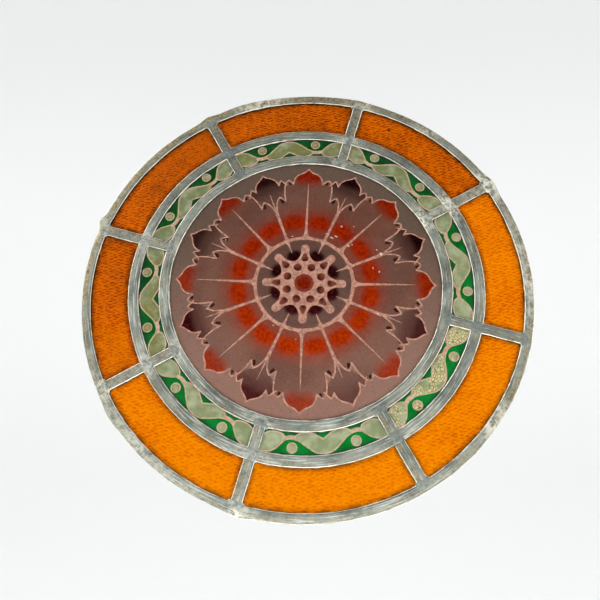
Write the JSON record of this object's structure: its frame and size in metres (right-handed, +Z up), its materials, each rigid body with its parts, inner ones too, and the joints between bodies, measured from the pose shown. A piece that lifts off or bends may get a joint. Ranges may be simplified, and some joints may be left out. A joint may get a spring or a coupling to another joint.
{
  "type": "stained glass window panel",
  "caption": "Round leaded glass window panel with a rosette disc, a narrow green band and a broad amber band held by lead rings and spokes.",
  "frame": {"origin": "centre of the round panel, in the plane of the lead's back faces, where the panel bears on its rebate", "axes": "+Z up as the panel stands in a wall, -Y out of the decorated front face, +Y out of the back, +X to the right seen from the front"},
  "size_m": [0.5, 0.006, 0.5],
  "materials": {
    "lead": "dull grey lead with pale green-white oxide, old cement along the glass and smeared solder at the joints",
    "amber_glass": "hammered amber glass, glossy, warm orange where light comes through",
    "green_glass": "smooth green glass with a painted pale scroll of leaves and dots, outlined in pink-brown",
    "rosette_glass": "smooth mauve-brown glass with a matt painted flower, pale vein lines, red and dark ruby spots"
  },
  "bodies": {
    "root": {"rim_came": "lead", "middle_ring_came": "lead", "inner_ring_came": "lead", "rosette_glass": "rosette_glass", "outer_spoke_came_1": "lead", "inner_spoke_came_1": "lead", "amber_glass_1": "amber_glass", "green_glass_1": "green_glass", "outer_spoke_came_2": "lead", "inner_spoke_came_2": "lead", "amber_glass_2": "amber_glass", "green_glass_2": "green_glass", "outer_spoke_came_3": "lead", "inner_spoke_came_3": "lead", "amber_glass_3": "amber_glass", "green_glass_3": "green_glass", "outer_spoke_came_4": "lead", "inner_spoke_came_4": "lead", "amber_glass_4": "amber_glass", "green_glass_4": "green_glass", "outer_spoke_came_5": "lead", "inner_spoke_came_5": "lead", "amber_glass_5": "amber_glass", "green_glass_5": "green_glass", "outer_spoke_came_6": "lead", "inner_spoke_came_6": "lead", "amber_glass_6": "amber_glass", "green_glass_6": "green_glass", "outer_spoke_came_7": "lead", "inner_spoke_came_7": "lead", "amber_glass_7": "amber_glass", "green_glass_7": "green_glass", "outer_spoke_came_8": "lead", "inner_spoke_came_8": "lead", "amber_glass_8": "amber_glass", "green_glass_8": "green_glass"}
  },
  "joints": []
}
